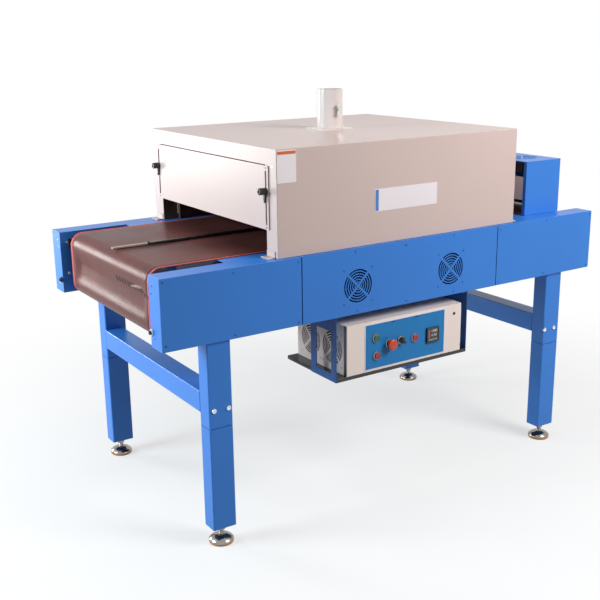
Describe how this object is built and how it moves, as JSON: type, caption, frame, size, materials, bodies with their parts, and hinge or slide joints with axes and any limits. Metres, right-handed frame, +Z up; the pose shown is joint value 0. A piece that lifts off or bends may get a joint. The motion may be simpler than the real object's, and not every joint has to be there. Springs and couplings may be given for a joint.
{
  "type": "heat shrink tubing machine",
  "caption": "Belt shrink tunnel on legs with a heated hood, height-adjustable infeed shutter, cooling cover, exhaust pipe and a control box hung under the frame.",
  "frame": {"origin": "centre of the bounding box at floor level", "axes": "+X along the belt from infeed to outfeed, +Y to the far side, +Z up; the controls face -Y"},
  "size_m": [1.702, 0.8676, 1.284],
  "materials": {
    "frame_blue": "satin powder coat, bright blue",
    "hood_cream": "fine textured powder coat, warm cream",
    "belt_mesh": "coated glass fibre mesh, brown, slightly glossy",
    "belt_binding": "stitched red-orange edge tape",
    "bed_steel": "bare sheet steel",
    "roller_steel": "turned steel",
    "fan_black": "black moulded fan",
    "lever_black": "black moulded plastic",
    "plated_steel": "bright plated steel",
    "tray_dark": "dark painted sheet",
    "panel_blue": "printed blue plate, bare of words",
    "key_green": "green push button",
    "key_red": "red push button",
    "stop_red": "orange-red mushroom head",
    "guide_dark": "black strip",
    "guide_beige": "beige end of the strip"
  },
  "bodies": {
    "machine": {"bed_side_strips": "frame_blue", "belt_edge_binding": "belt_binding", "centre_guide_strip": "guide_dark", "chamber_liner": "bed_steel", "clamp_studs": "plated_steel", "control_bezels": "plated_steel", "control_box": "hood_cream", "control_box_fans": "fan_black", "control_box_front": "hood_cream", "control_box_tray": "tray_dark", "control_panel_plate": "panel_blue", "conveyor_belt": "belt_mesh", "cooling_baffle": "hood_cream", "cooling_cover_far": "frame_blue", "cooling_cover_near": "frame_blue", "cooling_cover_top": "frame_blue", "cooling_fans": "fan_black", "cross_rails": "frame_blue", "cross_ties": "bed_steel", "exhaust_pipe": "hood_cream", "far_centre_cover": "frame_blue", "far_infeed_cover": "frame_blue", "far_outfeed_cover": "frame_blue", "guide_strip_tip": "guide_beige", "hood_far_wall": "hood_cream", "hood_feet": "hood_cream", "hood_near_wall": "hood_cream", "hood_roof": "hood_cream", "infeed_hanger": "frame_blue", "infeed_rollers": "roller_steel", "levelling_feet": "plated_steel", "lower_legs": "frame_blue", "near_centre_cover": "frame_blue", "near_infeed_cover": "frame_blue", "near_outfeed_cover": "frame_blue", "outfeed_hanger": "frame_blue", "outfeed_rollers": "roller_steel", "outfeed_shutter": "hood_cream", "side_fans": "fan_black", "side_frame_far": "frame_blue", "side_frame_near": "frame_blue", "slider_bed": "bed_steel", "take_up_screws": "plated_steel", "temperature_display": "lever_black", "upper_legs": "frame_blue"},
    "infeed_shutter": {"infeed_shutter": "hood_cream"},
    "near_clamp_lever": {"near_clamp_lever": "lever_black"},
    "far_clamp_lever": {"far_clamp_lever": "lever_black"},
    "exhaust_damper": {"exhaust_damper": "plated_steel"},
    "start_button": {"start_button": "key_green"},
    "halt_button": {"halt_button": "key_red"},
    "reset_button": {"reset_button": "key_red"},
    "stop_button": {"stop_button": "stop_red"},
    "mode_selector": {"mode_selector": "lever_black"}
  },
  "joints": [
    {"name": "infeed_shutter_slide", "type": "slide", "parent": "machine", "child": "infeed_shutter", "axis": [0, 0, 1], "range_m": [-0.05, 0.09]},
    {"name": "near_clamp_lever_turn", "type": "hinge", "parent": "machine", "child": "near_clamp_lever", "pos_m": [-0.48, -0.34225, 1.032], "axis": [1, 0, 0], "range_deg": [-90, 90]},
    {"name": "far_clamp_lever_turn", "type": "hinge", "parent": "machine", "child": "far_clamp_lever", "pos_m": [-0.48, 0.36975, 1.032], "axis": [1, 0, 0], "range_deg": [-90, 90]},
    {"name": "exhaust_damper_turn", "type": "hinge", "parent": "machine", "child": "exhaust_damper", "pos_m": [0, 0.01375, 1.218], "axis": [0, 1, 0], "range_deg": [0, 90]},
    {"name": "start_button_press", "type": "slide", "parent": "machine", "child": "start_button", "axis": [0, 1, 0], "range_m": [0, 0.003], "stiffness_N_per_m": 900},
    {"name": "halt_button_press", "type": "slide", "parent": "machine", "child": "halt_button", "axis": [0, 1, 0], "range_m": [0, 0.003], "stiffness_N_per_m": 900},
    {"name": "reset_button_press", "type": "slide", "parent": "machine", "child": "reset_button", "axis": [0, 1, 0], "range_m": [0, 0.003], "stiffness_N_per_m": 900},
    {"name": "stop_button_press", "type": "slide", "parent": "machine", "child": "stop_button", "axis": [0, 1, 0], "range_m": [0, 0.006], "stiffness_N_per_m": 1500},
    {"name": "mode_selector_turn", "type": "hinge", "parent": "machine", "child": "mode_selector", "pos_m": [-0.022, -0.40625, 0.522], "axis": [0, 1, 0], "range_deg": [0, 90]}
  ]
}
